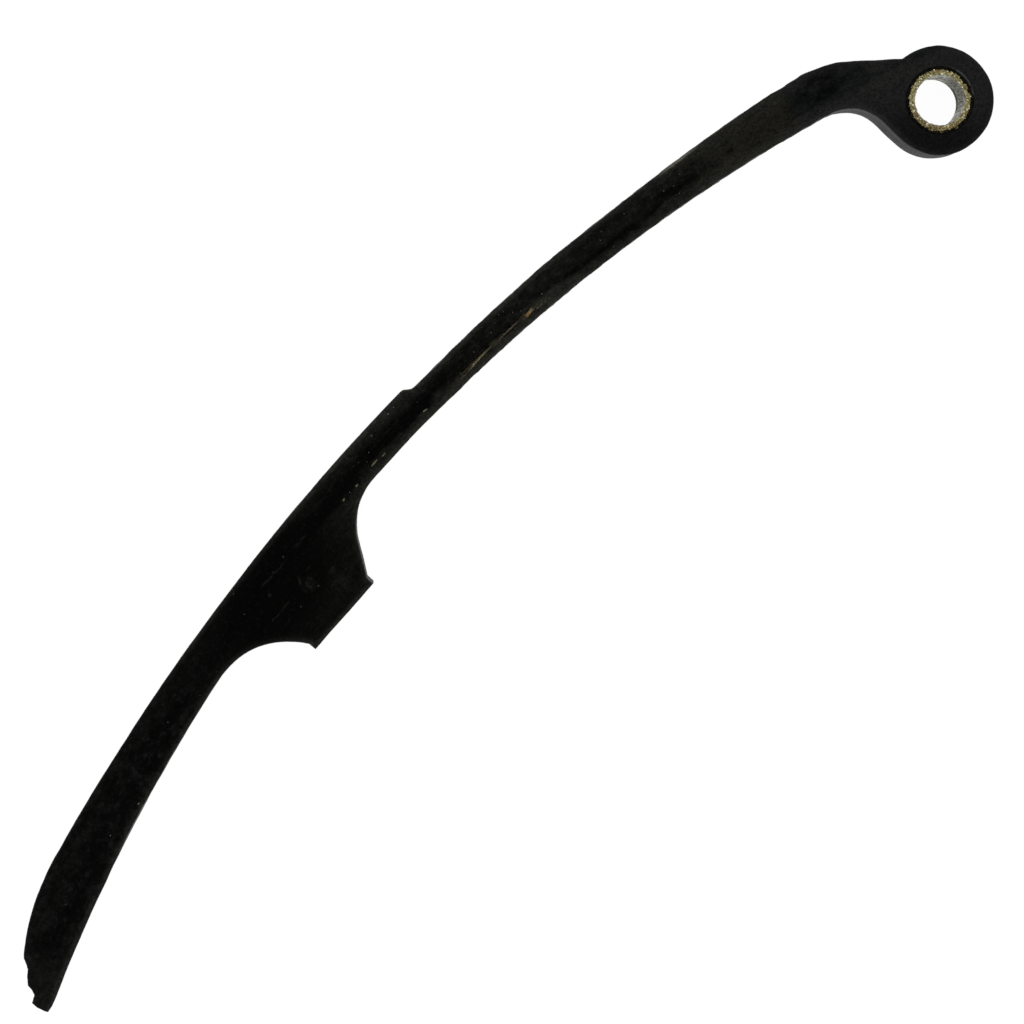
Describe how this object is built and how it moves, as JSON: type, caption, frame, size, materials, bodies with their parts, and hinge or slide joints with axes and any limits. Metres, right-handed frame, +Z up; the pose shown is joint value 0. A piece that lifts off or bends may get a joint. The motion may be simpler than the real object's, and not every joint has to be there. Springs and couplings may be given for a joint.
{
  "type": "timing chain guide",
  "caption": "Curved black rubber timing chain guide moulded round a spring steel leaf, with a steel bush in its pivot eye, a flat tensioner pad and a torn lower end.",
  "frame": {"origin": "middle of the guide's bounding box, on the surface that it lies on", "axes": "+X from the torn end to the pivot eye, +Y from the tensioner pad to the chain face, +Z up across the width"},
  "size_m": [0.2098, 0.0364, 0.012],
  "materials": {
    "black_rubber": "matte black moulded rubber, worn and dusty",
    "spring_steel": "oil-stained spring steel",
    "bush_steel": "worn brass-toned passivated steel"
  },
  "bodies": {
    "root": {"guide_body": "black_rubber", "spring_leaf": "spring_steel", "pivot_bush": "bush_steel"}
  },
  "joints": []
}
